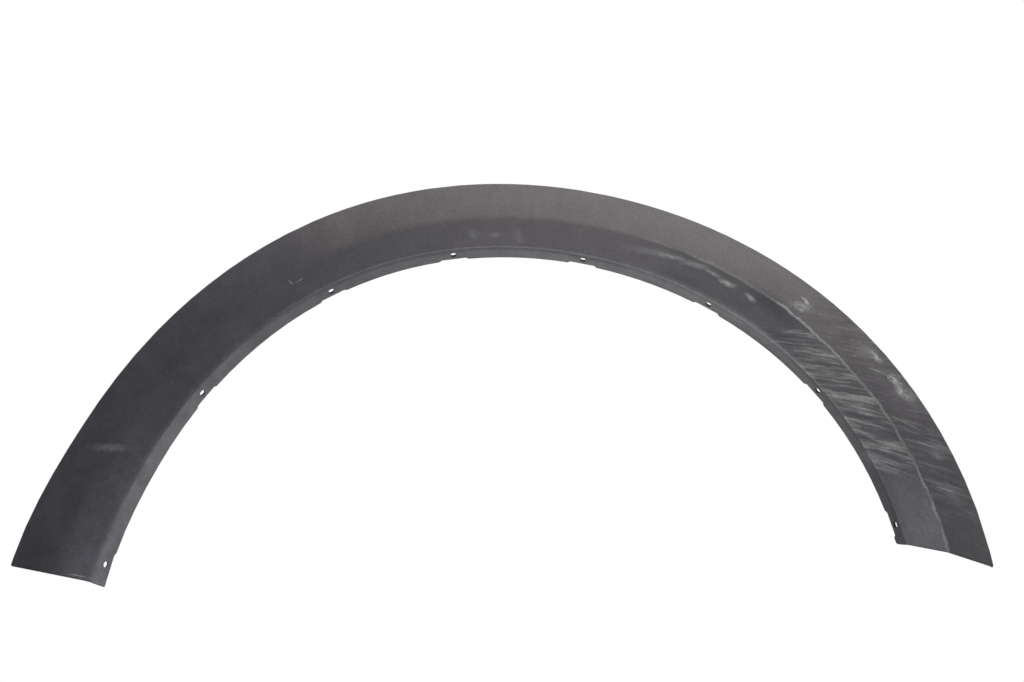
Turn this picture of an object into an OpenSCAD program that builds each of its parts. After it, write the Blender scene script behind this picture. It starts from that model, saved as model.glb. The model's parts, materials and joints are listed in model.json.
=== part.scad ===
// Wheel-arch trim: one moulded shell that frames the wheel opening of a car's fender.
// X runs along the car, +Y points into the body and +Z up, so the styled face looks towards -Y.
// The rim of the outer edge lies in one plane, where the trim meets the fender.
// A section is drawn as radius from the wheel's centre and height above that plane,
// and it is lofted round the arch while its sizes run through the named values below.
// The origin is the centre of the locating clip hole, halfway through the flange's wall.

/* [Wheel opening] */
// Radius to the free edge of the return flange, at the right end
opening_right_end = 381.5; // [372:0.5:392]
// The same at the right shoulder
opening_right_shoulder = 384; // [375:0.5:393]
// The same right of the crown
opening_crown = 382; // [374:0.5:392]
// The same left of the crown
opening_left_shoulder = 383.5; // [375:0.5:393]
// The same on the left leg
opening_left_leg = 377.5; // [370:0.5:388]
// The same at the left end
opening_left_end = 384; // [376:0.5:394]

/* [Width of the trim] */
// From the flange's free edge to the outer edge, at the right end
width_right_end = 86.5; // [78:0.5:100]
// The same at the right shoulder
width_right_shoulder = 78; // [72:0.5:95]
// The same right of the crown
width_crown = 72.5; // [68:0.5:90]
// The same left of the crown
width_left_shoulder = 75; // [70:0.5:92]
// The same on the left leg
width_left_leg = 83; // [78:0.5:100]
// The same at the left end
width_left_end = 94; // [86:0.5:108]

/* [Crease] */
// Width of the outer facet, from the outer edge to the crease, at the right end
facet_right_end = 43; // [36:0.5:48]
// The same at the crown
facet_crown = 35; // [28:0.5:40]
// The same at the left end
facet_left_end = 43; // [36:0.5:52]
// Height of the crease above a flat face, at the right end
crease_right_end = 8.5; // [3:0.25:11]
// The same at the crown
crease_crown = 4.5; // [2:0.25:7]
// The same at the left end, where it has nearly faded out
crease_left_end = 2; // [0.5:0.25:4]
// Rounded run each side of the crease, at the right end
crease_run_right = 2; // [1:0.25:8]
// The same at the crown
crease_run_crown = 3; // [1.5:0.25:12]
// The same at the left end
crease_run_left = 8; // [3:0.5:16]

/* [Face] */
// Wall thickness of the face
wall = 2.6; // [2:0.1:3.4]
// Height of the lip along the outer edge
lip_h = 6; // [4.5:0.25:9]
// How far that lip leans in over its whole height
lip_set_back = 0.8; // [0.2:0.1:1.5]
// Rounding run at the top of that lip
lip_run = 2.4; // [1.5:0.1:3.2]
// Height of the face at its inner edge
stand_off = 25; // [22:0.5:32]
// Rounding run of the inner edge on the face's side, right of the crown
inner_run_right = 2.2; // [1.5:0.1:5]
// The same at the left end, where the edge is a softer bend
inner_run_left = 7; // [3:0.5:16]

/* [Return flange] */
// Wall thickness of the flange
flange_wall = 2.2; // [1.6:0.1:2.8]
// How far the flange reaches back from the face's inner edge
flange_depth = 18; // [15:0.5:20]
// How far it leans in towards the wheel at the right end
flange_in_right = 7; // [5.5:0.25:10]
// The same at the crown
flange_in_crown = 6.5; // [5:0.25:10]
// The same at the left end
flange_in_left = 12; // [8:0.25:14]
// Depth of the step between the face's edge and the flange, at the right end
step_depth_right = 6; // [3:0.1:6.5]
// The same at the crown
step_depth_crown = 3.6; // [3:0.1:5]
// The same at the left end
step_depth_left = 3.6; // [3:0.1:5]
// How far that step leans in at the right end
step_in_right = 2; // [0.6:0.1:3]
// The same at the crown
step_in_crown = 0.6; // [0.3:0.1:2]
// The same at the left end
step_in_left = 1.6; // [0.6:0.1:3]

/* [Clip holes] */
// Angle of each clip hole round the arch, from the right end to the left
hole_at = [19.1, 40.8, 60.4, 79.3, 97.7, 115.7, 139, 166.7];
// Diameter of the clip holes
hole_d = 6.2; // [4.5:0.1:8]
// Distance from the flange's free edge to the hole's centre
hole_inset = 6.8; // [5.5:0.1:8]
// Length of the flat pad round each hole
pad_len = 23; // [14:0.5:27]
// Run of the ramp at each end of a pad
pad_ramp = 2.5; // [1:0.5:4]
// Depth of the pad below the flange
pad_sink = 1.6; // [0.6:0.1:2.2]

/* [Ends] */
// Angle of the right end at the face's inner edge
right_end_at = 16; // [15:0.1:16.4]
// How steeply the right end's cut falls away outwards
right_end_fall = 13.5; // [0:0.5:18]
// Lean of the right end's cut, forwards and up
right_end_lean = 18; // [0:1:24]
// Angle of the left end at the face's inner edge
left_end_at = 169.5; // [169:0.1:171.5]
// How steeply the left end's cut rises outwards
left_end_rise = 11.5; // [0:0.5:16]
// Lean of the left end's cut, forwards and up
left_end_lean = 12; // [0:1:24]
// The same for the flange at that end
left_flange_lean = 5.5; // [0:0.5:16]
// Rounding of both end edges
end_round = 1.6; // [0.6:0.1:1.9]
// Depth of the closing lip across the left end
end_lip = 8; // [5:0.25:10]
// Length of arch over which the end's slant fades out, as an angle
slant_fade = 24; // [16:1:30]

/* [Clip towers] */
// Angle of each hidden clip tower round the arch
tower_at = [21, 43, 66, 90, 114, 137, 159];
// Distance from the outer edge to the tower's centre
tower_inset = 20; // [18:0.5:22]
// Length of a tower along the arch
tower_l = 20; // [16:0.5:26]
// Width of a tower across the trim
tower_w = 18; // [15:0.5:20]
// Wall thickness of a tower
tower_wall = 1.8; // [1.2:0.1:2.4]
// Thickness of the plate that the clip snaps into
plate_t = 2.4; // [1.8:0.1:3]
// How far that plate stands out past the tower's walls
plate_edge = 0.4; // [0.2:0.1:0.8]
// Depth of that plate below the fender's plane
plate_gap = 1.2; // [0.5:0.1:2]
// Width of the slot that the clip slides into
slot_w = 7.6; // [5:0.1:9]

/* [Hidden] */
stations = [11, 40, 75, 110, 150, 170];
crown_stations = [stations[0], stations[2], stations[5]];
opening = [opening_right_end, opening_right_shoulder, opening_crown,
           opening_left_shoulder, opening_left_leg, opening_left_end];
width = [width_right_end, width_right_shoulder, width_crown,
         width_left_shoulder, width_left_leg, width_left_end];
facet = [facet_right_end, facet_crown, facet_left_end];
crease = [crease_right_end, crease_crown, crease_left_end];
crease_run = [crease_run_right, crease_run_crown, crease_run_left];
inner_run = [inner_run_right, inner_run_right, inner_run_left];
flange_in = [flange_in_right, flange_in_crown, flange_in_left];
step_in = [step_in_right, step_in_crown, step_in_left];
step_depth = [step_depth_right, step_depth_crown, step_depth_left];
// The step's own short rounding runs
step_run = 1.4;
foot_run = 0.8;
// Shortest run left of a rounding on the hidden side
least_run = 0.2;
// Steps in each rounding, on the face and on the hidden side
face_steps = [4, 6, 5, 2];
hidden_steps = [1, 3, 2, 1];
// Points in each stretch of the section: the rim, the roundings, then the pad's three
face_count = [1, each [for (n = face_steps) n + 1], 1, 1, 1];
hidden_count = [1, each [for (n = hidden_steps) n + 1], 1, 1, 1];
// Stations between two pads, and on each slanted end
gap_steps = 6;
end_steps = 3;
// Where the pad's ramp starts and ends, measured along the flange from the step's foot
pad_from = 1.4;
pad_full = 2.6;
// How far inside the inner edge the end's lean changes over to the flange's
lean_change = 6;
// Draft at the root of the closing lip, measured along the arch
lip_root = 0.5;
// Share of its height that a low point of the hidden side keeps where that lip closes it off
foot_share = 0.25;
// How far the drill for a clip hole runs past each side of the flange
hole_clear = 2;
// The locating hole, counted from the right end
datum_hole = 4;

function unit(v) = v / norm(v);
function left_of(v) = [-v[1], v[0]];
function clamp(x, low, high) = max(low, min(high, x));
function reversed(v) = [for (i = [len(v) - 1 : -1 : 0]) v[i]];
function total(v, n) = n == 0 ? 0 : v[n - 1] + total(v, n - 1);

// Slope of a curve through values v at angles a, at its own point i
function slope(a, v, i) =
    let (last = len(a) - 1, lo = max(i - 1, 0), hi = min(i + 1, last))
    (v[hi] - v[lo]) / (a[hi] - a[lo]);

// Smooth curve through values v at angles a, read at angle t
function through(a, v, t) =
    let (
        i = max([for (j = [0 : len(a) - 2]) if (j == 0 || t > a[j]) j]),
        h = a[i + 1] - a[i],
        s = clamp((t - a[i]) / h, 0, 1)
    )
    (1 + 2 * s) * (1 - s) ^ 2 * v[i] + s * (1 - s) ^ 2 * h * slope(a, v, i)
    + s ^ 2 * (3 - 2 * s) * v[i + 1] + s ^ 2 * (s - 1) * h * slope(a, v, i + 1);

function opening_r(t) = through(stations, opening, t);
function outer_r(t) = opening_r(t) + through(stations, width, t);
function inner_r(t) = opening_r(t) + through(crown_stations, flange_in, t);
function crease_r(t) = outer_r(t) - through(crown_stations, facet, t);

// Height of a straight face between the lip and the inner edge, at radius r
function chord_h(t, r) =
    lip_h + (stand_off - lip_h) * (outer_r(t) - r) / (outer_r(t) - inner_r(t));
function crease_h(t) = chord_h(t, crease_r(t)) + through(crown_stations, crease, t);

// Corners of the section as [radius, height]: rim, lip, crease, inner edge, step foot, free edge
function corners(t) = [
    [outer_r(t), 0],
    [outer_r(t) - lip_set_back, lip_h],
    [crease_r(t), crease_h(t)],
    [inner_r(t), stand_off],
    [inner_r(t) - through(crown_stations, step_in, t),
        stand_off - through(crown_stations, step_depth, t)],
    [opening_r(t), stand_off - flange_depth]
];

// The same corners moved inwards by one thickness for each side of the section
function pushed(v, w) =
    let (n = [for (i = [0 : len(w) - 1]) left_of(unit(v[i + 1] - v[i]))], end = len(w))
    [for (i = [0 : end])
        i == 0 ? [v[0][0] - w[0], 0]
        : i == end ? v[i] + n[end - 1] * w[end - 1]
        : v[i] + (n[i - 1] + n[i]) / (1 + n[i - 1] * n[i]) * (w[i - 1] + w[i]) / 2];

// Rounded corner at b on the way from a to c, moved inwards by w
function rounded(a, b, c, run_in, run_out, w, n) =
    let (
        u = unit(b - a),
        v = unit(c - b),
        turn = asin(clamp(u[0] * v[1] - u[1] * v[0], -1, 1)),
        cut = w * tan(turn / 2),
        p = b - u * clamp(run_in - cut, least_run, norm(b - a) * 0.5),
        q = b + v * clamp(run_out - cut, least_run, norm(c - b) * 0.45),
        k = cos(turn / 2)
    )
    [for (i = [0 : n])
        let (s = i / n, e = [(1 - s) ^ 2, 2 * s * (1 - s) * k, s ^ 2])
        (e[0] * p + e[1] * b + e[2] * q) / (e[0] + e[1] + e[2])];

// One side of the section at angle t: rounded, with the flange sunk by a pad
function outline(t, w, steps, sink) =
    let (
        v = pushed(corners(t), w),
        soft = through(crown_stations, crease_run, t),
        bend = through(crown_stations, inner_run, t),
        down = unit(v[5] - v[4]),
        pad = left_of(down) * sink
    )
    concat(
        [v[0]],
        rounded(v[0], v[1], v[2], lip_run, lip_run, w[1], steps[0]),
        rounded(v[1], v[2], v[3], soft, soft, w[1], steps[1]),
        rounded(v[2], v[3], v[4], bend, step_run, w[2], steps[2]),
        rounded(v[3], v[4], v[5], foot_run, foot_run, w[4], steps[3]),
        [v[4] + down * pad_from, v[4] + down * pad_full + pad, v[5] + pad]
    );

// Angle at which a circle of radius r meets an end's cut, which passes through the inner edge
// at angle at, has the slope m and is raised by rise; side is 1 on the right and -1 on the left
function cut_angle(r, at, m, rise, side) =
    let (
        foot = inner_r(at) * [cos(at), sin(at)],
        a = foot[1] - m * foot[0] + rise,
        x = (-m * a + side * sqrt(r ^ 2 * (1 + m ^ 2) - a ^ 2)) / (1 + m ^ 2)
    )
    atan2(a + m * x, x);

// How far the lean of an end's cut raises a point of the section; the lip isn't lowered by it
function lean_rise(t, p, face_lean, flange_lean) =
    let (s = clamp((p[0] - inner_r(t)) / lean_change, 0, 1))
    s * tan(face_lean) * max(p[1] - chord_h(t, p[0]), 0)
    + (1 - s) * tan(flange_lean) * (p[1] - stand_off);

// Angle of a section's point: its station's own, slanted near the ends to meet their cuts
function slanted(t, p) =
    let (
        right = clamp(1 - (t - right_end_at) / slant_fade, 0, 1) ^ 2,
        left = clamp(1 - (left_end_at - t) / slant_fade, 0, 1) ^ 2,
        rise_r = lean_rise(t, p, right_end_lean, 0),
        rise_l = lean_rise(t, p, left_end_lean, left_flange_lean)
    )
    t + (right == 0 ? 0
         : right * (cut_angle(p[0], right_end_at, -tan(right_end_fall), rise_r, 1) - right_end_at))
      + (left == 0 ? 0
         : left * (cut_angle(p[0], left_end_at, -tan(left_end_rise), rise_l, -1) - left_end_at));

function place(t, p) = let (a = slanted(t, p)) [p[0] * cos(a), -p[1], p[0] * sin(a)];

// Degrees of arch for a length along the opening
function turn_of(len, t) = len / opening_r(t) * 180 / PI;

// A station is [angle, pad depth, rounding depth, extra depth of the hidden side]
function ring(s) =
    let (
        t = s[0],
        r0 = inner_r(t),
        front = outline(t, [for (i = [0 : 4]) s[2]], face_steps, s[1]),
        back = outline(t, [wall, wall, wall, wall, flange_wall], hidden_steps, s[1]),
        deep = [for (p = back)
            [p[0], max(p[1] * foot_share, p[1] - s[3] * clamp((p[0] - r0) / lean_change, 0, 1))]]
    )
    [for (p = concat(front, reversed(deep))) place(t, p)];

// Depth by which a rounded end edge has dropped at distance a from the end
function round_drop(a) = end_round - sqrt(end_round ^ 2 - (end_round - min(a, end_round)) ^ 2);

// Angles between two others, both left out
function between(a, b, n) = [for (i = [1 : n]) a + (b - a) * i / (n + 1)];

// Angles of the full pad round hole i, and of the feet of its two ramps
function pad_at(i, side) = hole_at[i] + side * turn_of(pad_len / 2, hole_at[i]);
function ramp_at(i, side) = hole_at[i] + side * turn_of(pad_len / 2 + pad_ramp, hole_at[i]);

// Distances from an end at which its rounding is drawn
round_at = [for (i = [0 : end_steps]) end_round * (1 - cos(90 * i / end_steps))];
lip_extra = end_lip - wall;
last = len(hole_at) - 1;

// The right end, up to the first pad
right_stations = concat(
    [for (a = round_at) [right_end_at + turn_of(a, right_end_at), 0, round_drop(a), 0]],
    [[ramp_at(0, -1), 0, 0, 0]]
);
// Each pad but the last, with the plain stretch after it
pad_stations = [for (i = [0 : last - 1]) each concat(
    [for (side = [-1, 1]) [pad_at(i, side), pad_sink, 0, 0]],
    [[ramp_at(i, 1), 0, 0, 0]],
    [for (t = between(ramp_at(i, 1), ramp_at(i + 1, -1), gap_steps)) [t, 0, 0, 0]],
    [[ramp_at(i + 1, -1), 0, 0, 0]]
)];
// The last pad, which runs out at the left end, and that end's closing lip
left_stations = concat(
    [for (side = [-1, 1]) [pad_at(last, side), pad_sink, 0, 0]],
    [[left_end_at - turn_of(wall + lip_root, left_end_at), pad_sink, 0, 0]],
    [[left_end_at - turn_of(wall, left_end_at), pad_sink, 0, lip_extra]],
    [for (a = reversed(round_at))
        [left_end_at - turn_of(a, left_end_at), pad_sink, round_drop(a), lip_extra]]
);

// Point of the hidden side behind each point of the face's side, counted from the rim
behind = [for (g = [0 : len(face_count) - 1], i = [0 : face_count[g] - 1])
    total(hidden_count, g) + round(i * (hidden_count[g] - 1) / max(face_count[g] - 1, 1))];

// Triangles across a ring of n points, from the face's side to the hidden side behind it
function across(n) = [for (i = [0 : len(behind) - 2])
    let (b = n - 1 - behind[i])
    each concat([[i, i + 1, b]], behind[i + 1] > behind[i] ? [[i + 1, b - 1, b]] : [])];

// Skin over a row of closed rings with as many points each
module loft(rings) {
    n = len(rings[0]);
    m = len(rings);
    polyhedron(
        points = [for (r = rings) each r],
        faces = concat(
            [for (f = across(n)) reversed(f)],
            [for (j = [0 : m - 2], i = [0 : n - 1])
                each let (a = j * n + i, b = j * n + (i + 1) % n)
                [[b, a + n, a], [b, b + n, a + n]]],
            [for (f = across(n)) [for (i = f) (m - 1) * n + i]]
        )
    );
}

module shell() {
    loft([for (s = concat(right_stations, pad_stations, left_stations)) ring(s)]);
}

// Direction of the flange's own slope at angle t, towards its free edge
function flange_down(t) = let (v = corners(t)) unit(v[5] - v[4]);

// Centre of clip hole i as [radius, height], halfway through the wall of its pad
function hole_centre(i) =
    let (t = hole_at[i], down = flange_down(t))
    corners(t)[5] - down * hole_inset + left_of(down) * (pad_sink + flange_wall / 2);

// Centre of clip hole i as a point
function hole_point(i) =
    let (c = hole_centre(i))
    [c[0] * cos(hole_at[i]), -c[1], c[0] * sin(hole_at[i])];

// Round hole square to its pad
module clip_hole(i) {
    out = left_of(flange_down(hole_at[i]));
    translate(hole_point(i))
        rotate([0, -hole_at[i], 0])
        rotate([0, 0, atan2(-out[1], out[0])])
        rotate([0, 90, 0])
        cylinder(h = flange_wall + 2 * hole_clear, d = hole_d, center = true, $fn = 48);
}

// Height of the middle of the face's wall over a point of the plan
function mid_wall(p) =
    let (v = corners(atan2(p[1], p[0])), r = norm(p), a = r > v[2][0] ? v[1] : v[2],
         b = r > v[2][0] ? v[2] : v[3])
    a[1] + (b[1] - a[1]) * (a[0] - r) / (a[0] - b[0]) - wall / 2;

// Plan position of a point given along the radius and along the arch from a tower's centre
function tower_point(t, p) =
    let (r = outer_r(t) - tower_inset + p[0])
    [r * cos(t) - p[1] * sin(t), r * sin(t) + p[1] * cos(t)];

// Three upright walls of a tower, from the middle of its plate up into the face's own wall
module tower_walls(t) {
    w = tower_w / 2;
    l = tower_l / 2;
    in_w = w - tower_wall;
    in_l = l - tower_wall;
    plan = [for (p = [[-w, -l], [w, -l], [w, l], [-w, l],
                      [-w, in_l], [in_w, in_l], [in_w, -in_l], [-w, -in_l]])
        tower_point(t, p)];
    n = len(plan);
    foot = plate_gap + plate_t / 2;
    polyhedron(
        points = [for (p = plan) [p[0], -foot, p[1]], for (p = plan) [p[0], -mid_wall(p), p[1]]],
        faces = [
            for (q = [[0, 1, 6, 7], [1, 2, 5, 6], [2, 3, 4, 5]])
                each [q, [q[2] + n, q[1] + n, q[0] + n], [q[3] + n, q[2] + n, q[0] + n]],
            for (i = [0 : n - 1]) each let (j = (i + 1) % n) [[j + n, j, i], [i + n, j + n, i]]
        ]
    );
}

// Hidden tower with a plate that holds a push clip, open towards the wheel
module clip_tower(t) {
    c = tower_point(t, [0, 0]);
    translate([c[0], -plate_gap, c[1]])
        rotate([90, -t, 0])
        linear_extrude(plate_t)
        difference() {
            square([tower_w + 2 * plate_edge, tower_l + 2 * plate_edge], center = true);
            circle(d = slot_w, $fn = 48);
            translate([-tower_w / 2, 0])
                square([tower_w, slot_w], center = true);
        }
    tower_walls(t);
}

module arch_trim() {
    color("#4b4a4d")
        translate(-hole_point(datum_hole))
        union() {
            difference() {
                shell();
                for (i = [0 : last]) clip_hole(i);
            }
            for (t = tower_at) clip_tower(t);
        }
}

arch_trim();
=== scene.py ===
"""Wheel-arch trim: the moulded fender trim with its grained, sun-faded, rubbed and scratched
finish, with light and shade painted into its colour.
"""

import json
from collections import namedtuple
from math import atan2, degrees, hypot, radians

import bpy
from bpy.props import FloatProperty, FloatVectorProperty, PointerProperty
from bpy.types import Operator, Panel, PropertyGroup
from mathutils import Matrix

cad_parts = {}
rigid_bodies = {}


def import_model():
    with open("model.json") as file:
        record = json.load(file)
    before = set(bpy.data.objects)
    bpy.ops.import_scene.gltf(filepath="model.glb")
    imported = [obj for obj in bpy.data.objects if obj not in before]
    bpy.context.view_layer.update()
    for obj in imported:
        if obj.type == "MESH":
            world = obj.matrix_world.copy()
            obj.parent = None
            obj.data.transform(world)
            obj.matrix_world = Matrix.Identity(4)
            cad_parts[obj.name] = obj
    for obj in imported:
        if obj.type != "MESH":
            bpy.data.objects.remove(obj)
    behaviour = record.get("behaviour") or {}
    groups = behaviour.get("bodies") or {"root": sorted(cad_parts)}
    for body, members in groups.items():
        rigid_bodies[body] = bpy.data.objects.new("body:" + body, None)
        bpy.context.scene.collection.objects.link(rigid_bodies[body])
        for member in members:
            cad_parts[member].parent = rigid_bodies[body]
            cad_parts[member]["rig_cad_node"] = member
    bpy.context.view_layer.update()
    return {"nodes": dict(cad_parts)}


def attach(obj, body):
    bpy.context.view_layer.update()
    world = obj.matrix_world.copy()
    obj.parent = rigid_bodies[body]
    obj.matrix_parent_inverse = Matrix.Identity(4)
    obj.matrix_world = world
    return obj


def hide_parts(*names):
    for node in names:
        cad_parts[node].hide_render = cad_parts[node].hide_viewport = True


bl_info = {
    "name": "Wheel Arch Trim",
    "version": (1, 0, 0),
    "blender": (4, 5, 0),
    "location": "3D View > Sidebar > Arch Trim",
    "description": "Dresses the moulded wheel-arch trim and sets up its studio",
    "category": "Object",
}

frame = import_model()

NODE = "arch_trim"
BODY = "root"

# Centre of the wheel opening, and the arch's sizes at angles round it, in metres
WHEEL = (0.05208, 0.01202, -0.38518)
STATIONS = (11, 40, 75, 110, 150, 170)
CROWN_STATIONS = (11, 75, 170)
OPENING = (0.3815, 0.384, 0.382, 0.3835, 0.3775, 0.384)
WIDTH = (0.0865, 0.078, 0.0725, 0.075, 0.083, 0.094)
FACET = (0.043, 0.035, 0.043)
FLANGE_IN = (0.007, 0.0065, 0.012)


# ---------------------------------------------------------------- the moulding's own measures


def through(angles, values, at):
    """Smooth curve through values at angles, read at one angle."""
    last = len(angles) - 1
    i = max(j for j in range(last) if j == 0 or at > angles[j])

    def slope(k):
        low, high = max(k - 1, 0), min(k + 1, last)
        return (values[high] - values[low]) / (angles[high] - angles[low])

    run = angles[i + 1] - angles[i]
    s = min(max((at - angles[i]) / run, 0), 1)
    return (
        (1 + 2 * s) * (1 - s) ** 2 * values[i]
        + s * (1 - s) ** 2 * run * slope(i)
        + s**2 * (3 - 2 * s) * values[i + 1]
        + s**2 * (s - 1) * run * slope(i + 1)
    )


def measures(point):
    """Angle round the arch, and mm out from the crease and from the face's inner edge."""
    x, z = point[0] - WHEEL[0], point[2] - WHEEL[2]
    angle = degrees(atan2(z, x))
    radius = hypot(x, z)
    opening = through(STATIONS, OPENING, angle)
    outer = opening + through(STATIONS, WIDTH, angle)
    inner = opening + through(CROWN_STATIONS, FLANGE_IN, angle)
    crease = outer - through(CROWN_STATIONS, FACET, angle)
    return angle, 1000 * (radius - crease), 1000 * (radius - inner)


# ---------------------------------------------------------------- properties


def colour_property(name, description, default):
    """Property for a colour."""
    return FloatVectorProperty(
        name=name, description=description, default=default, min=0, max=1, size=3, subtype="COLOR"
    )


def share_property(name, description, default, least=0):
    """Property for an amount of up to 1."""
    return FloatProperty(
        name=name, description=description, default=default, min=least, max=1, subtype="FACTOR"
    )


def fine_length_property(name, description, default, least, most):
    """Property for a very small length."""
    return FloatProperty(
        name=name,
        description=description,
        default=default,
        min=least,
        max=most,
        unit="LENGTH",
        precision=5,
    )


def power_property(name, description, default):
    """Property for the power of a lamp."""
    return FloatProperty(
        name=name, description=description, default=default, min=0, max=500, unit="POWER"
    )


class ArchTrimFinish(PropertyGroup):
    """Colours and surface of the moulded plastic."""

    smooth_angle: FloatProperty(
        name="Smooth Angle",
        description="Edges that turn less than this are shaded smooth",
        default=radians(36),
        min=radians(10),
        max=radians(60),
        subtype="ANGLE",
    )
    plastic: colour_property(
        "Plastic",
        "Colour of the moulded plastic where the sun hasn't reached it",
        (0.028, 0.0275, 0.036),
    )
    # This warm grey is partly sun fading and partly painted light: it is laid on most where a
    # facet faces the light
    faded: colour_property("Faded", "Warm grey where the sun has faded it", (0.098, 0.089, 0.089))
    # This pale grey is partly dust and partly painted light on inner facets that face the light
    dust_and_light: colour_property("Dust and Light", "Cool grey film near the ends", (0.1, 0.104, 0.118))
    # This paler grey is partly the flange's own colour and partly painted light from below
    flange: colour_property("Flange", "Colour of the return flange", (0.105, 0.102, 0.108))
    # Colour of rubbed places, and also of the painted highlight along the face's inner edge
    scuffed_and_sheen: colour_property(
        "Scuffed and Sheen", "Colour where the plastic is rubbed white", (0.42, 0.42, 0.42)
    )
    # Strengths of the pale film, which is partly dust and partly painted light
    left_dust_and_light: share_property("Left Dust and Light", "Strength of the film on the left leg", 0.37)
    foot_dust_and_light: share_property(
        "Foot Dust and Light", "Strength of the film at the foot of the right leg", 0.55
    )
    roughness: share_property("Roughness", "Roughness of the grained surface", 0.58, least=0.2)
    grain_size: fine_length_property(
        "Grain Size", "Size of one grain of the moulded texture", 0.0013, 0.0003, 0.01
    )
    grain_depth: fine_length_property(
        "Grain Depth", "Height of the moulded texture", 0.00012, 0, 0.001
    )


class ArchTrimStudio(PropertyGroup):
    """The floor, lamps and even light round the trim."""

    key_power: power_property("Key Power", "Power of the large lamp over the front", 18)
    fill_power: power_property("Fill Power", "Power of the low lamp in front", 3)
    bounce_power: power_property(
        "Bounce Power", "Power of the low lamp under the arch, which stands for a pale table", 2.2
    )
    ambient: FloatProperty(
        name="Ambient", description="Even light from all round", default=0.25, min=0, max=2
    )
    floor_height: FloatProperty(
        name="Floor Height", description="Height of the floor", default=-0.5, max=0, unit="LENGTH"
    )
    floor_colour: colour_property("Floor Colour", "Colour of the floor", (0.8, 0.8, 0.8))


# ---------------------------------------------------------------- node helpers


def add_node(tree, kind, name=None, **settings):
    """Adds a node; settings are its own properties."""
    node = tree.nodes.new(kind)
    if name:
        node.name = node.label = name
    for key, value in settings.items():
        setattr(node, key, value)
    return node


def feed(tree, value, socket):
    """Gives an input its link or its constant."""
    if isinstance(value, bpy.types.NodeSocket):
        tree.links.new(value, socket)
    else:
        socket.default_value = value


def maths(tree, operation, *values, clamp=False):
    """Output of a Math node with these inputs."""
    node = add_node(tree, "ShaderNodeMath", operation=operation, use_clamp=clamp)
    for socket, value in zip(node.inputs, values):
        feed(tree, value, socket)
    return node.outputs[0]


def spread(tree, mask, least, most):
    """Value between least, where a mask is 0, and most, where it is 1."""
    return maths(tree, "MULTIPLY_ADD", mask, most - least, least)


def mapped(tree, value, name, start, end, at_start, at_end):
    """Value that changes evenly between start and end, and stays level beyond them."""
    node = add_node(tree, "ShaderNodeMapRange", name)
    feed(tree, value, node.inputs["Value"])
    for socket, number in zip(node.inputs[1:5], (start, end, at_start, at_end)):
        feed(tree, number, socket)
    return node.outputs[0]


def ramp_between(tree, value, start, end):
    """0 at start to 1 at end, smooth at both."""
    node = add_node(tree, "ShaderNodeMapRange", interpolation_type="SMOOTHSTEP")
    feed(tree, value, node.inputs["Value"])
    feed(tree, start, node.inputs["From Min"])
    feed(tree, end, node.inputs["From Max"])
    return node.outputs["Result"]


def blended(tree, factor, first, second):
    """Colour between two others."""
    node = add_node(tree, "ShaderNodeMix", data_type="RGBA")
    feed(tree, factor, node.inputs[0])
    feed(tree, first, node.inputs[6])
    feed(tree, second, node.inputs[7])
    return node.outputs[2]


def new_group(name, inputs, outputs):
    """A shader node group with named float and vector sockets, and its two ends."""
    tree = bpy.data.node_groups.new(name, "ShaderNodeTree")
    for label, default in inputs:
        kind = "NodeSocketVector" if default is None else "NodeSocketFloat"
        socket = tree.interface.new_socket(name=label, in_out="INPUT", socket_type=kind)
        if default is not None:
            socket.default_value = default
    for label in outputs:
        tree.interface.new_socket(name=label, in_out="OUTPUT", socket_type="NodeSocketFloat")
    return tree, add_node(tree, "NodeGroupInput"), add_node(tree, "NodeGroupOutput")


def use_group(tree, group, name, **values):
    """Places a node group and sets or links its inputs."""
    node = add_node(tree, "ShaderNodeGroup", name, node_tree=group)
    for label, value in values.items():
        feed(tree, value, node.inputs[label.replace("_", " ")])
    return node


def noise(tree, vector, scale, detail=2, roughness=0.5):
    """Noise texture output."""
    node = add_node(tree, "ShaderNodeTexNoise")
    feed(tree, vector, node.inputs["Vector"])
    feed(tree, scale, node.inputs["Scale"])
    feed(tree, detail, node.inputs["Detail"])
    feed(tree, roughness, node.inputs["Roughness"])
    return node.outputs["Fac"]


def wandering(tree, vector, scale, amount):
    """Vector moved about by a noise, by this many metres at most."""
    node = add_node(tree, "ShaderNodeTexNoise")
    feed(tree, vector, node.inputs["Vector"])
    feed(tree, scale, node.inputs["Scale"])
    feed(tree, 3, node.inputs["Detail"])
    centred = add_node(tree, "ShaderNodeVectorMath", operation="SUBTRACT")
    feed(tree, node.outputs["Color"], centred.inputs[0])
    feed(tree, (0.5, 0.5, 0.5), centred.inputs[1])
    moved = add_node(tree, "ShaderNodeVectorMath", "Wander", operation="MULTIPLY_ADD")
    feed(tree, centred.outputs[0], moved.inputs[0])
    feed(tree, (2 * amount, 2 * amount, 2 * amount), moved.inputs[1])
    feed(tree, vector, moved.inputs[2])
    return moved.outputs[0]


# ---------------------------------------------------------------- shared effects

# Values of a noise between which a mask of it rises
NOISE_SPAN = (0.3, 0.7)
FIBRE_SPAN = (0.32, 0.68)
MARK_SPAN = (-0.1, 0.9)
LIGHT_SPAN = (0.45, 0.72)
DARK_SPAN = (0.5, 0.3)
GAP_SPAN = (0.3, 0.56)
STRETCH_SPAN = (0.3, 0.62)

# Fibres of a mark, and patches of the streaks: their scale, and how much they are drawn out
FIBRE_SCALE = 1000
FIBRE_DRAWN_OUT = 0.2
PATCH_SCALE = 1.3
PATCH_DRAWN_OUT = 0.28
PATCH_STRENGTH = 0.55


def moulded_grain():
    """Fine texture of the mould: a height, and a speckle that follows it."""
    tree, start, end = new_group(
        "Moulded grain", [("Vector", None), ("Size", 0.0013)], ["Height", "Speckle"]
    )
    scale = maths(tree, "DIVIDE", 1, start.outputs["Size"])
    fine = noise(tree, start.outputs["Vector"], scale, detail=3, roughness=0.6)
    feed(tree, fine, end.inputs["Height"])
    feed(tree, ramp_between(tree, fine, *NOISE_SPAN), end.inputs["Speckle"])
    return tree


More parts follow.
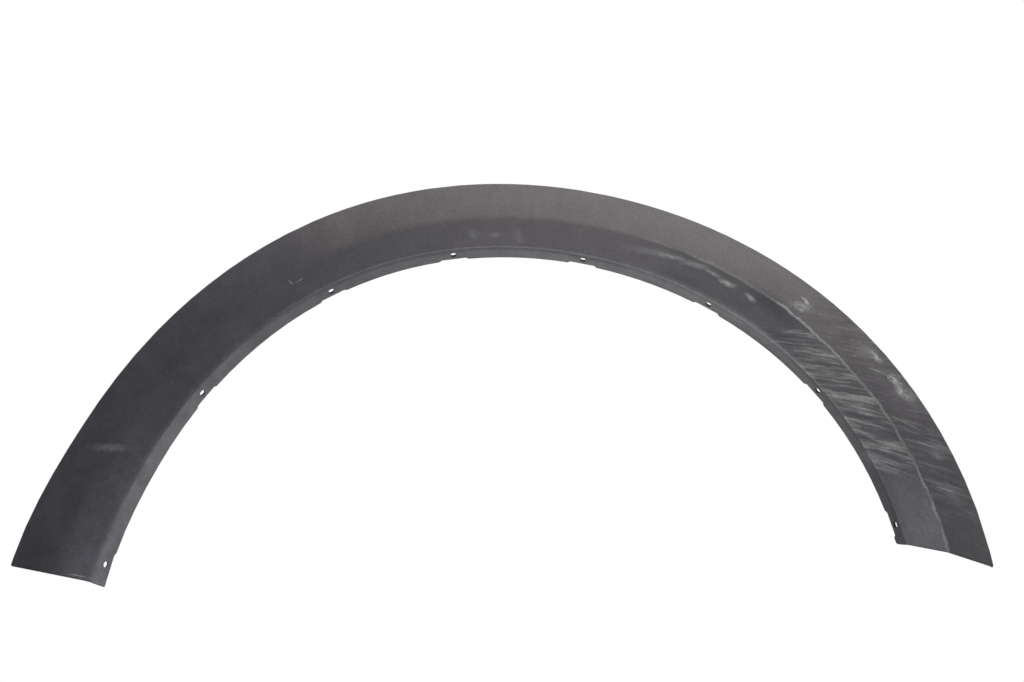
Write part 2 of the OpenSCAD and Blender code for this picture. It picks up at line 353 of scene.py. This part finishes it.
def turned(tree, vector, angle):
    """How far a vector reaches along a mark turned by that angle about Y, and across it."""
    node = add_node(tree, "ShaderNodeVectorRotate", rotation_type="Y_AXIS")
    feed(tree, vector, node.inputs["Vector"])
    feed(tree, angle, node.inputs["Angle"])
    parts = []
    for axis in ((1, 0, 0), (0, 0, 1)):
        part = add_node(tree, "ShaderNodeVectorMath", operation="DOT_PRODUCT")
        feed(tree, node.outputs[0], part.inputs[0])
        feed(tree, axis, part.inputs[1])
        parts.append(part.outputs["Value"])
    return parts


def joined(tree, x, z):
    """Vector of an X and a Z."""
    node = add_node(tree, "ShaderNodeCombineXYZ")
    feed(tree, x, node.inputs["X"])
    feed(tree, z, node.inputs["Z"])
    return node.outputs[0]


def rub_mark():
    """One rubbed or scratched place: a broken-up oval mask, given its place, size and turn."""
    tree, start, end = new_group(
        "Rub mark",
        [
            ("Vector", None),
            ("Place X", 0),
            ("Place Z", 0),
            ("Length", 0.01),
            ("Width", 0.002),
            ("Turn", 0),
            ("Break up", 0.75),
        ],
        ["Mask"],
    )
    inputs = start.outputs
    middle = joined(tree, inputs["Place X"], inputs["Place Z"])
    move = add_node(tree, "ShaderNodeVectorMath", operation="SUBTRACT")
    feed(tree, inputs["Vector"], move.inputs[0])
    feed(tree, middle, move.inputs[1])
    along, across = turned(tree, move.outputs[0], inputs["Turn"])
    u = maths(tree, "DIVIDE", along, inputs["Length"])
    w = maths(tree, "DIVIDE", across, inputs["Width"])
    away = maths(
        tree,
        "SQRT",
        maths(tree, "ADD", maths(tree, "MULTIPLY", u, u), maths(tree, "MULTIPLY", w, w)),
    )
    inside = maths(tree, "SUBTRACT", 1, away)
    short = maths(tree, "MULTIPLY", along, FIBRE_DRAWN_OUT)
    fibres = noise(tree, joined(tree, short, across), FIBRE_SCALE, detail=3, roughness=0.65)
    fibres = ramp_between(tree, fibres, *FIBRE_SPAN)
    kept = maths(tree, "SUBTRACT", inside, maths(tree, "MULTIPLY", fibres, inputs["Break up"]))
    feed(tree, ramp_between(tree, kept, *MARK_SPAN), end.inputs["Mask"])
    return tree


def streaks():
    """Drawn-out streaks in broad patches: a mask of the light ones and one of the dark gaps."""
    tree, start, end = new_group(
        "Streaks",
        [("Vector", None), ("Turn", 0), ("Run", 0.05), ("Size", 0.003)],
        ["Light", "Dark"],
    )
    along, across = turned(tree, start.outputs["Vector"], start.outputs["Turn"])
    u = maths(tree, "DIVIDE", along, start.outputs["Run"])
    w = maths(tree, "DIVIDE", across, start.outputs["Size"])
    drawn = noise(tree, joined(tree, u, w), 1, detail=3, roughness=0.62)
    wide = maths(tree, "MULTIPLY", w, PATCH_DRAWN_OUT)
    patches = noise(tree, joined(tree, u, wide), PATCH_SCALE)
    patches = maths(tree, "SUBTRACT", patches, 0.5)
    patches = maths(tree, "MULTIPLY", patches, PATCH_STRENGTH)
    drawn = maths(tree, "ADD", drawn, patches)
    feed(tree, ramp_between(tree, drawn, *LIGHT_SPAN), end.inputs["Light"])
    feed(tree, ramp_between(tree, drawn, *DARK_SPAN), end.inputs["Dark"])
    return tree


def line():
    """Mask of a thin line at one distance from the crease or the inner edge."""
    tree, start, end = new_group(
        "Line", [("Distance", 0), ("Centre", 0), ("Half width", 1), ("Softness", 0.6)], ["Mask"]
    )
    away = maths(tree, "SUBTRACT", start.outputs["Distance"], start.outputs["Centre"])
    away = maths(tree, "ABSOLUTE", away)
    far = maths(tree, "ADD", start.outputs["Half width"], start.outputs["Softness"])
    feed(tree, ramp_between(tree, away, far, start.outputs["Half width"]), end.inputs["Mask"])
    return tree


# ---------------------------------------------------------------- where the finish changes

# Amounts at angles round the arch, from the right end to the left
# Sun fading with painted light and shade: these amounts also make the top and the facets that face
# the light lighter, and the left leg darker
OUTER_FADING_AND_LIGHT = (
    (15, 0.34), (27, 0.36), (35, 0.5), (43, 0.56), (51, 0.77), (62, 0.87), (98, 0.88),
    (110, 0.7), (120, 0.27), (135, 0.04),
)
INNER_FADING_AND_LIGHT = (
    (15, 0.48), (26, 0.33), (32, 0.46), (44, 0.5), (50, 0.3), (62, 0.28), (75, 0.45), (90, 0.45),
    (105, 0.31), (125, 0.18), (140, 0.08),
)
# Partly painted light: the flange is made lighter where it faces the light from below and from the
# right, darker at the right end
FLANGE_FADING_AND_LIGHT = (
    (16, 0.1), (24, 0.17), (35, 0.56), (44, 0.66), (51, 0.67), (60, 0.93), (70, 0.94), (84, 0.97),
    (98, 0.71), (114, 0.55), (130, 0.5), (142, 0.61), (152, 0.58), (163, 0.48), (170, 0.5),
)
# Partly dust, partly painted light: the left leg's inner half is made lighter because it faces the
# light
LEFT_DUST_AND_LIGHT = ((145, 0), (155, 0.4), (163, 0.52), (171, 1))
# How much lighter the colour is made towards the outer rim, along the arch
RIM_LIGHTENING = (
    (15, 0.5), (34, 0.5), (44, 0.5), (58, 0.9), (75, 0.7), (100, 0.7), (114, 1), (128, 1),
    (140, 0.6), (148, 0),
)
CREASE_RUB = (
    (15, 0.26), (21, 0.26), (28, 0.18), (38, 0.25), (45, 0.24), (51, 0.36), (56, 0.07),
    (63, 0.12), (69, 0.05), (74, 0),
)
# Strengths of the painted highlight and of the painted glow along the face's inner edge
EDGE_SHEEN = (
    (20, 0), (30, 0.03), (40, 0.1), (50, 0.24), (60, 0.24), (72, 0.14), (100, 0.08), (120, 0.05),
    (130, 0),
)
EDGE_GLOW = ((42, 0), (52, 0.16), (62, 0.12), (70, 0.06), (76, 0))
# Strengths of the painted shade in the groove where the flange turns in
EDGE_SHADE = (
    (17, 0.2), (30, 0.2), (46, 0.22), (60, 0.14), (74, 0.2), (110, 0.24), (122, 0.1), (128, 0),
)

# Where effects start and end. ACROSS is mm out from the crease, INWARDS mm out from the face's
# inner edge, ALONG the angle round the arch, and HEIGHT metres up
FACE_INWARDS = (-1, 0)
FLANGE_INWARDS = (-0.3, -1.4)
FACETS_MEET = 0.4  # mm inside the crease
CREASE_SOFTNESS = (60, 125, 0.8, 7)  # two angles, and half the mm over which the facets blend
LEFT_DUST_AND_LIGHT_ACROSS = (7, -24)
FOOT_DUST_AND_LIGHT_ALONG = (28, 19)
FOOT_DUST_AND_LIGHT_ACROSS = (0.5, -1.5)
FOOT_DUST_AND_LIGHT_INWARDS = (-5, 11)
STREAK_MIDDLE = (0.4, 0, -0.14)
STREAK_TILT = (-0.07, -0.21, radians(-5), radians(-17))  # two heights, and the turn there
STREAKS_ACROSS = (1.5, -1)
STREAKS_FOOT_HEIGHT = (-0.218, -0.2)
STREAKS_TOP_HEIGHT = (-0.071, -0.076)
STREAKS_ALONG = (66, 56)
BEYOND_ACROSS = (0, 4)
BEYOND_ALONG = (54, 40)
BEYOND_HEIGHT = (-0.275, -0.22)
RIM_ACROSS = (0, 36)
PATCHY_ALONG = (118, 135)

# Strengths
SPECULAR = 0.3
LIGHT_STREAKS = 0.31
DARK_STREAKS = 0.7
BEYOND_CREASE = 0.4  # of the streaks on the inner facet
CREASE_LINE = 1.5
SHADE_LEVEL = 0.75  # of the plastic's own colour
WORN_ROUGHNESS = 0.15
BLOTCH_ROUGHNESS = 0.05

# Noise that a mark's outline follows: its scale, and how far it moves the outline in metres
LOOSE = (90, 0.0014)
FRAYED = (160, 0.0016)

# The line along the crease, in mm out from it; how far it wavers; and the scale of its waver, of
# its gaps and of its stronger stretches, with what is left of the line in and between those
LINE_CENTRE = 0.3
LINE_HALF_WIDTH = 0.3
LINE_SOFTNESS = 1.7
LINE_WAVER = 7
WAVER_SCALE = 55
GAP_SCALE = 420
LEFT_IN_GAPS = 0.3
STRETCH_SCALE = 60
LEFT_BETWEEN_STRETCHES = 0.5

# Blotches: their scale, and their strength on the right and on the darker left leg
BLOTCH_SCALE = 52
BLOTCH_STRENGTH = (0.25, 0.39)
# Level of the colour at the darkest and at the lightest speckle, and off and on the outer rim
SPECKLE_LEVEL = (0.8, 1.2)
RIM_LEVEL = (0.98, 1.28)

# How much of a mark its fibres break up
RUBS_BROKEN = 0.7
SMEARS_BROKEN = 0.4
SCRATCHES_BROKEN = 0.45
SHADES_BROKEN = 0.35

# Painted highlight along the face's inner edge, as bands: middle and half width in mm out from it,
# and softness
EDGE_BANDS = (
    ("Edge sheen", 0.4, 0.4, 0.8, EDGE_SHEEN),
    ("Edge glow", 0, 0, 5.5, EDGE_GLOW),
)
# Painted shade: a thin dark band in the groove where the flange turns in
FLANGE_TURN = ("Turn of the flange", -1.6, 0.3, 0.6, EDGE_SHADE)

# Rubs: X and Z in mm, half length, half width, turn in degrees, strength
RUBS = (
    # knocks on the outer facet
    (336, -46, 9, 3.6, -48, 0.95),
    (330, -55, 9, 3, -25, 0.7),
    (332, -51, 20, 8, -14, 0.5),
    (402, -98.5, 15, 5, -48, 0.8),
    (403, -113, 18, 2.2, -16, 0.45),
    (419, -121, 15, 7, -35, 0.75),
    (424, -131, 12, 7.5, -55, 0.85),
    (430, -137, 12, 7, -30, 0.45),
    # tick left of the crown
    (-154.3, -29.1, 5, 1.7, -45, 0.45),
    (-145.8, -27.2, 9, 1.5, 30, 0.36),
)
# Smears: wider and softer
SMEARS = (
    # drag marks on the inner facet, right of the crown
    (190, 0, 40, 6, -11, 0.14),
    (206, -4, 29, 3.2, -11, 0.32),
    (230, -12, 24, 5, -15, 0.28),
    (247.5, -20.5, 16, 3.4, -29, 0.34),
    (260.7, -30.2, 13, 4.2, -25, 0.55),
    (282.4, -43.7, 10, 4, -41, 0.5),
    # round the knocks
    (394, -93, 20, 10, -35, 0.16),
    (434, -136, 16, 11, -50, 0.22),
    # worn places near the foot
    (457, -193, 13, 6.5, -24, 0.17),
    (471, -231, 20, 9, -45, 0.1),
    (354, -115.6, 16, 9, -17, 0.16),
    (398, -198, 17, 7.5, -40, 0.2),
    # smudge on the left leg
    (-323, -186, 31, 6.5, -4, 0.2),
    # finger marks under the crown
    (19.4, 17.9, 11, 8, -46, 0.09),
    (40.4, 17, 9, 4.4, 10, 0.12),
    (62.3, 14.9, 14, 7, -58, 0.08),
)
# Scratches: thin and straight
SCRATCHES = (
    (425, -161.4, 34, 1.2, -24, 0.34),
    (449.6, -184, 24, 1.2, -18, 0.4),
    (436, -181, 20, 1, -16, 0.28),
    (466, -226, 24, 1.4, -16, 0.4),
    (414, -206.6, 26, 1.6, -18, 0.24),
    # worn line just above the left end's edge
    (-349, -307.2, 18, 1.3, -10, 0.34),
)
# Darker places
SHADES = (
    (302, -50, 46, 15, -38, 1),
    (216, 2, 20, 4.6, -22, 0.6),
    (218, -27, 36, 9, -22, 0.45),
    (272, -49, 20, 8, -30, 0.35),
    (322, -80, 26, 7, -4, 0.35),
    (400, -130, 50, 16, -62, 0.35),
    (446, -172, 26, 9, -58, 0.4),
    # Painted shade: the left leg's outer facet made darker where it is turned away from the light
    (-396, -288, 55, 30, 76, 0.9),
)


# ---------------------------------------------------------------- material


RAMP_SPAN = 180  # degrees of arc from the start of a ramp to its end


def amount_along(tree, arc, name, stops):
    """Amount at an angle round the arch, eased between its stops."""
    share = maths(tree, "DIVIDE", arc, RAMP_SPAN)
    ramp = add_node(tree, "ShaderNodeValToRGB", name)
    ramp.color_ramp.interpolation = "EASE"
    points = ramp.color_ramp.elements
    while len(points) < len(stops):
        points.new(1)
    for point, (angle, amount) in zip(points, stops):
        point.position = angle / RAMP_SPAN
        point.color = (amount, amount, amount, 1)
    feed(tree, share, ramp.inputs[0])
    return ramp.outputs[0]


def all_rubs(tree, place, group, rubs, break_up):
    """Strongest of these rub marks at each point."""
    mask = 0
    for x, z, length, width, turn, strength in rubs:
        mark = use_group(
            tree,
            group,
            "Rub",
            Vector=place,
            Place_X=x / 1000,
            Place_Z=z / 1000,
            Length=length / 1000,
            Width=width / 1000,
            Turn=radians(turn),
            Break_up=break_up,
        )
        mark = maths(tree, "MULTIPLY", mark.outputs["Mask"], strength)
        mask = maths(tree, "MAXIMUM", mask, mark)
    return mask


Spot = namedtuple("Spot", "place height arc crease inner styled")


def spot_on_trim(tree):
    """Sockets that say where on the trim a point is, and whether it is on the styled front."""
    place = add_node(tree, "ShaderNodeTexCoord").outputs["Object"]
    axes = add_node(tree, "ShaderNodeSeparateXYZ")
    feed(tree, place, axes.inputs[0])
    moulding = add_node(tree, "ShaderNodeAttribute", attribute_name="moulding")
    measure = add_node(tree, "ShaderNodeSeparateXYZ", "Arc, crease, inner edge")
    feed(tree, moulding.outputs["Vector"], measure.inputs[0])
    styled = add_node(tree, "ShaderNodeAttribute", attribute_name="styled").outputs["Fac"]
    return Spot(place, axes.outputs["Z"], *measure.outputs, styled)


def sun_fading_and_painted_light(tree, at, finish):
    """Plastic as the sun has faded it, with painted light and shade, different on each facet:
    lighter at the top and on facets that face the light, darker on the left leg; and a mask of the
    face.
    """
    soft = mapped(tree, at.arc, "Crease softness", *CREASE_SOFTNESS)
    shifted = maths(tree, "ADD", at.crease, FACETS_MEET)
    outer = ramp_between(tree, shifted, maths(tree, "MULTIPLY", soft, -1), soft)
    outer_fading_and_light = amount_along(tree, at.arc, "Outer facet fading", OUTER_FADING_AND_LIGHT)
    inner_fading_and_light = amount_along(tree, at.arc, "Inner facet fading", INNER_FADING_AND_LIGHT)
    # Painted light and shade: each facet gets its own amount, more where it faces the light
    fading = blended(tree, outer, inner_fading_and_light, outer_fading_and_light)
    face = maths(tree, "MULTIPLY", ramp_between(tree, at.inner, *FACE_INWARDS), at.styled)
    fading = maths(tree, "MULTIPLY", fading, face)
    return blended(tree, fading, (*finish.plastic, 1), (*finish.faded, 1)), face


def dust_and_painted_light(tree, at, face, finish, colour):
    """Pale film on the inner half of the left leg and at the foot of the right one: partly dust,
    partly painted light on those inner facets, which face the light more.
    """
    half = ramp_between(tree, at.crease, *LEFT_DUST_AND_LIGHT_ACROSS)
    left = maths(tree, "MULTIPLY", amount_along(tree, at.arc, "Left film", LEFT_DUST_AND_LIGHT), half)
    left = maths(tree, "MULTIPLY", left, finish.left_dust_and_light)
    foot = ramp_between(tree, at.arc, *FOOT_DUST_AND_LIGHT_ALONG)
    foot = maths(tree, "MULTIPLY", foot, ramp_between(tree, at.crease, *FOOT_DUST_AND_LIGHT_ACROSS))
    foot = maths(tree, "MULTIPLY", foot, ramp_between(tree, at.inner, *FOOT_DUST_AND_LIGHT_INWARDS))
    foot = maths(tree, "MULTIPLY", foot, finish.foot_dust_and_light)
    # Partly dust, partly painted light on inner facets that face the light
    film = maths(tree, "MULTIPLY", maths(tree, "MAXIMUM", left, foot), face)
    return blended(tree, film, colour, (*finish.dust_and_light, 1))


def flange_fading_and_painted_light(tree, at, finish, colour):
    """Grey of the return flange, even across it: partly its own paler colour, partly painted light
    from below and from the right, lighter where the flange faces it.
    """
    flange = ramp_between(tree, at.inner, *FLANGE_INWARDS)
    fading = amount_along(tree, at.arc, "Flange fading", FLANGE_FADING_AND_LIGHT)
    # Painted light on the flange, with its own grey
    flange = maths(tree, "MULTIPLY", maths(tree, "MULTIPLY", flange, fading), at.styled)
    return blended(tree, flange, colour, (*finish.flange, 1))


def drag_streaks(tree, at, face, vector):
    """Masks of the light and dark streaks on the right leg, which are steeper near its foot."""
    middle = add_node(tree, "ShaderNodeVectorMath", "Streak zone", operation="SUBTRACT")
    feed(tree, vector, middle.inputs[0])
    feed(tree, STREAK_MIDDLE, middle.inputs[1])
    tilt = mapped(tree, at.height, "Streak tilt", *STREAK_TILT)
    drawn = use_group(tree, streaks(), "Drag streaks", Vector=middle.outputs[0], Turn=tilt)
    zone = maths(tree, "MULTIPLY", ramp_between(tree, at.crease, *STREAKS_ACROSS), face)
    for measure, ends in (
        (at.height, STREAKS_FOOT_HEIGHT),
        (at.height, STREAKS_TOP_HEIGHT),
        (at.arc, STREAKS_ALONG),
    ):
        zone = maths(tree, "MULTIPLY", zone, ramp_between(tree, measure, *ends))
    beyond = ramp_between(tree, at.crease, *BEYOND_ACROSS)
    for measure, ends in ((at.arc, BEYOND_ALONG), (at.height, BEYOND_HEIGHT)):
        beyond = maths(tree, "MULTIPLY", beyond, ramp_between(tree, measure, *ends))
    zone = maths(tree, "MULTIPLY_ADD", beyond, BEYOND_CREASE, zone)
    zone = maths(tree, "MULTIPLY", zone, at.styled)
    return [maths(tree, "MULTIPLY", drawn.outputs[name], zone) for name in ("Light", "Dark")]


def crease_line(tree, at, group):
    """Mask of the pale line rubbed along the crease, which wavers and has gaps."""
    waver = noise(tree, at.place, WAVER_SCALE, detail=4, roughness=0.6)
    off = maths(tree, "SUBTRACT", waver, 0.5)
    off = maths(tree, "MULTIPLY_ADD", off, LINE_WAVER, at.crease)
    rubbed = use_group(
        tree,
        group,
        "Crease line",
        Distance=off,
        Centre=LINE_CENTRE,
        Half_width=LINE_HALF_WIDTH,
        Softness=LINE_SOFTNESS,
    )
    gaps = noise(tree, at.place, GAP_SCALE, detail=4, roughness=0.7)
    gaps = spread(tree, ramp_between(tree, gaps, *GAP_SPAN), LEFT_IN_GAPS, 1)
    stretches = ramp_between(tree, noise(tree, at.place, STRETCH_SCALE), *STRETCH_SPAN)
    stretches = spread(tree, stretches, LEFT_BETWEEN_STRETCHES, 1)
    gaps = maths(tree, "MULTIPLY", gaps, stretches)
    rubbed = maths(tree, "MULTIPLY", rubbed.outputs["Mask"], gaps)
    rubbed = maths(tree, "MULTIPLY", rubbed, amount_along(tree, at.arc, "Crease rub", CREASE_RUB))
    return maths(tree, "MULTIPLY", rubbed, CREASE_LINE, clamp=True)


def edge_band(tree, at, group, name, centre, half_width, softness, stops):
    """Strength of one band along the face's inner edge."""
    band = use_group(
        tree,
        group,
        name,
        Distance=at.inner,
        Centre=centre,
        Half_width=half_width,
        Softness=softness,
    )
    amount = amount_along(tree, at.arc, name + " amount", stops)
    return maths(tree, "MULTIPLY", band.outputs["Mask"], amount)


def edge_painted_highlight(tree, at, group, finish, colour):
    """Painted highlight along the inner edge with a painted glow beside it, and a thin painted
    shade where the flange turns in.
    """
    sheen = 0
    # Painted highlight along the inner edge
    for band in EDGE_BANDS:
        sheen = maths(tree, "MAXIMUM", sheen, edge_band(tree, at, group, *band))
    sheen = maths(tree, "MULTIPLY", sheen, at.styled)
    colour = blended(tree, sheen, colour, (*finish.scuffed_and_sheen, 1))
    # Painted shade in the groove where the flange turns in
    turn_in = edge_band(tree, at, group, *FLANGE_TURN)
    turn_in = maths(tree, "MULTIPLY", turn_in, at.styled)
    return blended(tree, turn_in, colour, (0, 0, 0, 1))


def unevenness(tree, at, speckle):
    """Blotches; and a level that follows them, the speckle and the paler outer edge."""
    blotch = noise(tree, at.place, BLOTCH_SCALE, detail=5, roughness=0.68)
    blotch = ramp_between(tree, blotch, *NOISE_SPAN)
    amount = spread(tree, ramp_between(tree, at.arc, *PATCHY_ALONG), *BLOTCH_STRENGTH)
    patchy = maths(tree, "MULTIPLY_ADD", maths(tree, "SUBTRACT", blotch, 0.5), amount, 1)
    level = maths(tree, "MULTIPLY", spread(tree, speckle, *SPECKLE_LEVEL), patchy)
    rim = maths(tree, "MULTIPLY", ramp_between(tree, at.crease, *RIM_ACROSS), at.styled)
    rim = maths(tree, "MULTIPLY", rim, amount_along(tree, at.arc, "Rim fading", RIM_LIGHTENING))
    return blotch, maths(tree, "MULTIPLY", level, spread(tree, rim, *RIM_LEVEL))


def trim_plastic(finish):
    """Grained black plastic: faded by the sun, with dust towards its ends, rubbed and scratched;
    painted light and shade and a painted highlight along the inner edge are in its colour.
    """
    material = bpy.data.materials.new("Trim plastic")
    material.use_nodes = True
    tree = material.node_tree
    shader = tree.nodes["Principled BSDF"]
    shader.inputs["Roughness"].default_value = finish.roughness
    shader.inputs["Specular IOR Level"].default_value = SPECULAR

    at = spot_on_trim(tree)
    grain = use_group(tree, moulded_grain(), "Grain", Vector=at.place, Size=finish.grain_size)
    colour, face = sun_fading_and_painted_light(tree, at, finish)
    colour = dust_and_painted_light(tree, at, face, finish, colour)
    colour = flange_fading_and_painted_light(tree, at, finish, colour)

    loose = wandering(tree, at.place, *LOOSE)
    frayed = wandering(tree, at.place, *FRAYED)
    light, dark = drag_streaks(tree, at, face, loose)
    edge = line()
    rubbed = crease_line(tree, at, edge)

    marks = rub_mark()
    rubs = all_rubs(tree, frayed, marks, RUBS, RUBS_BROKEN)
    for vector, table, broken in (
        (loose, SMEARS, SMEARS_BROKEN),
        (at.place, SCRATCHES, SCRATCHES_BROKEN),
    ):
        rubs = maths(tree, "MAXIMUM", rubs, all_rubs(tree, vector, marks, table, broken))
    rubs = maths(tree, "MULTIPLY", maths(tree, "MAXIMUM", rubs, rubbed), at.styled)
    rubs = maths(tree, "MAXIMUM", rubs, maths(tree, "MULTIPLY", light, LIGHT_STREAKS))
    shade = maths(tree, "MULTIPLY", all_rubs(tree, loose, marks, SHADES, SHADES_BROKEN), face)
    shade = maths(tree, "MAXIMUM", shade, maths(tree, "MULTIPLY", dark, DARK_STREAKS))
    shaded = tuple(channel * SHADE_LEVEL for channel in finish.plastic)
    colour = blended(tree, shade, colour, (*shaded, 1))
    colour = blended(tree, rubs, colour, (*finish.scuffed_and_sheen, 1))
    colour = edge_painted_highlight(tree, at, edge, finish, colour)

    blotch, level = unevenness(tree, at, grain.outputs["Speckle"])
    tinted = add_node(tree, "ShaderNodeVectorMath", "Blotched", operation="SCALE")
    feed(tree, colour, tinted.inputs[0])
    feed(tree, level, tinted.inputs["Scale"])
    feed(tree, tinted.outputs[0], shader.inputs["Base Color"])

    worn = maths(tree, "MULTIPLY_ADD", rubs, WORN_ROUGHNESS, finish.roughness)
    worn = maths(tree, "MULTIPLY_ADD", blotch, BLOTCH_ROUGHNESS, worn, clamp=True)
    feed(tree, worn, shader.inputs["Roughness"])

    bump = add_node(tree, "ShaderNodeBump")
    bump.inputs["Distance"].default_value = finish.grain_depth
    bump.inputs["Strength"].default_value = 1
    feed(tree, grain.outputs["Height"], bump.inputs["Height"])
    feed(tree, bump.outputs["Normal"], shader.inputs["Normal"])
    return material


def plain(name, colour, roughness):
    """Even matte material."""
    material = bpy.data.materials.new(name)
    material.use_nodes = True
    shader = material.node_tree.nodes["Principled BSDF"]
    shader.inputs["Base Color"].default_value = (*colour, 1)
    shader.inputs["Roughness"].default_value = roughness
    return material


# ---------------------------------------------------------------- operators

WELD = 1e-6  # metres
NORMAL_WEIGHT = 90
FRONT = -0.02  # a face whose normal has less Y than this is on the styled front
FLOOR_SIZE = 8
FLOOR_ROUGHNESS = 0.8
# Lamps: name, place, aim, size, and the setting with the power
LAMPS = (
    ("Key", (0.45, -0.85, 1.05), (0.1, 0, -0.05), (0.9, 0.7), "key_power"),
    ("Fill", (0.9, -1.6, -0.1), (0.05, 0, -0.1), (0.9, 0.5), "fill_power"),
    ("Bounce", (0, -0.16, -0.48), (0, -0.1, 0), (0.6, 0.16), "bounce_power"),
)
CAMERA_PLACE = (0.056078, -2.56267, -0.44403)
CAMERA_TURN = (radians(98), 0, 0)  # 8 degrees up
CAMERA_LENS = 95.71
SENSOR_WIDTH = 36


def only(piece):
    """Selects one object and makes it active."""
    bpy.ops.object.select_all(action="DESELECT")
    piece.select_set(True)
    bpy.context.view_layer.objects.active = piece


class ARCHTRIM_OT_trim(Operator):
    """Dresses the moulded trim: one smooth skin with its finish"""

    bl_idname = "archtrim.trim"
    bl_label = "Moulded Trim"

    def execute(self, context):
        finish = context.scene.arch_trim_finish
        only(frame["nodes"][NODE])
        bpy.ops.object.duplicate()
        trim = context.view_layer.objects.active
        trim.name = trim.data.name = "moulded_trim"
        del trim["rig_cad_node"]
        trim.parent = None

        bpy.ops.object.mode_set(mode="EDIT")
        bpy.ops.mesh.select_all(action="SELECT")
        bpy.ops.mesh.remove_doubles(threshold=WELD)
        bpy.ops.object.mode_set(mode="OBJECT")
        bpy.ops.mesh.customdata_custom_splitnormals_clear()
        bpy.ops.object.shade_smooth_by_angle(angle=finish.smooth_angle)
        bpy.ops.object.modifier_add(type="WEIGHTED_NORMAL")
        weighted = trim.modifiers[-1]
        weighted.mode = "FACE_AREA"
        weighted.weight = NORMAL_WEIGHT
        weighted.keep_sharp = True
        bpy.ops.object.modifier_apply(modifier=weighted.name)

        moulding = trim.data.attributes.new("moulding", "FLOAT_VECTOR", "POINT")
        for vertex, value in zip(trim.data.vertices, moulding.data):
            value.vector = measures(vertex.co)

        styled = trim.data.attributes.new("styled", "FLOAT", "FACE")
        for face, value in zip(trim.data.polygons, styled.data):
            value.value = 1 if face.normal.y < FRONT else 0

        trim.data.materials.clear()
        trim.data.materials.append(trim_plastic(finish))
        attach(trim, BODY)
        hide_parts(NODE)
        return {"FINISHED"}


class ARCHTRIM_OT_studio(Operator):
    """Sets up the floor, lamps, white surroundings and camera"""

    bl_idname = "archtrim.studio"
    bl_label = "Studio"

    def execute(self, context):
        studio = context.scene.arch_trim_studio
        self.lay_floor(studio)
        self.hang_lamps(studio)
        self.light_world(context.scene, studio)
        self.place_camera(context.scene)
        return {"FINISHED"}

    def lay_floor(self, studio):
        bpy.ops.object.select_all(action="DESELECT")
        place = (0, 0, studio.floor_height)
        bpy.ops.mesh.primitive_plane_add(size=FLOOR_SIZE, location=place)
        floor = bpy.context.object
        floor.name = floor.data.name = "studio_floor"
        bpy.ops.object.transform_apply(location=True, rotation=True, scale=True)
        floor.data.materials.append(plain("Floor", studio.floor_colour, FLOOR_ROUGHNESS))

    def hang_lamps(self, studio):
        for name, place, aim, size, power in LAMPS:
            bpy.ops.object.light_add(type="AREA", location=place)
            lamp = bpy.context.object
            lamp.name = lamp.data.name = name
            lamp.data.shape = "RECTANGLE"
            lamp.data.size, lamp.data.size_y = size
            lamp.data.energy = getattr(studio, power)
            lamp.visible_camera = False
            towards = [b - a for a, b in zip(place, aim)]
            lamp.rotation_euler = (
                atan2(hypot(towards[0], towards[1]), -towards[2]),
                0,
                atan2(-towards[0], towards[1]),
            )

    def light_world(self, scene, studio):
        world = bpy.data.worlds.new("Studio")
        scene.world = world
        world.use_nodes = True
        tree = world.node_tree
        ambient = tree.nodes["Background"]
        ambient.inputs["Color"].default_value = (1, 1, 1, 1)
        ambient.inputs["Strength"].default_value = studio.ambient
        white = add_node(tree, "ShaderNodeBackground", "White")
        white.inputs["Color"].default_value = (1, 1, 1, 1)
        white.inputs["Strength"].default_value = 1
        rays = add_node(tree, "ShaderNodeLightPath")
        seen = maths(tree, "MAXIMUM", rays.outputs["Is Camera Ray"], rays.outputs["Is Glossy Ray"])
        seen = maths(tree, "MAXIMUM", seen, rays.outputs["Is Transmission Ray"])
        mix = add_node(tree, "ShaderNodeMixShader")
        feed(tree, seen, mix.inputs[0])
        feed(tree, ambient.outputs[0], mix.inputs[1])
        feed(tree, white.outputs[0], mix.inputs[2])
        feed(tree, mix.outputs[0], tree.nodes["World Output"].inputs["Surface"])
        scene.view_settings.view_transform = "Standard"

    def place_camera(self, scene):
        bpy.ops.object.camera_add(location=CAMERA_PLACE, rotation=CAMERA_TURN)
        camera = bpy.context.object
        camera.name = camera.data.name = "Camera"
        camera.data.lens = CAMERA_LENS
        camera.data.sensor_width = SENSOR_WIDTH
        scene.camera = camera


class ARCHTRIM_PT_sidebar(Panel):
    """Sizes, colours and the steps that build the trim"""

    bl_idname = "ARCHTRIM_PT_sidebar"
    bl_label = "Arch Trim"
    bl_space_type = "VIEW_3D"
    bl_region_type = "UI"
    bl_category = "Arch Trim"

    def draw(self, context):
        scene = context.scene
        for title, settings, operator in (
            ("Trim", scene.arch_trim_finish, ARCHTRIM_OT_trim),
            ("Studio", scene.arch_trim_studio, ARCHTRIM_OT_studio),
        ):
            box = self.layout.box()
            box.label(text=title)
            for prop in settings.bl_rna.properties:
                if prop.identifier not in {"rna_type", "name"}:
                    box.prop(settings, prop.identifier)
            box.operator(operator.bl_idname)


CLASSES = (
    ArchTrimFinish,
    ArchTrimStudio,
    ARCHTRIM_OT_trim,
    ARCHTRIM_OT_studio,
    ARCHTRIM_PT_sidebar,
)


def register():
    for cls in CLASSES:
        bpy.utils.register_class(cls)
    bpy.types.Scene.arch_trim_finish = PointerProperty(type=ArchTrimFinish)
    bpy.types.Scene.arch_trim_studio = PointerProperty(type=ArchTrimStudio)


def unregister():
    del bpy.types.Scene.arch_trim_studio
    del bpy.types.Scene.arch_trim_finish
    for cls in reversed(CLASSES):
        bpy.utils.unregister_class(cls)


def main():
    register()
    bpy.ops.archtrim.trim()
    bpy.ops.archtrim.studio()


if __name__ == "__main__":
    main()
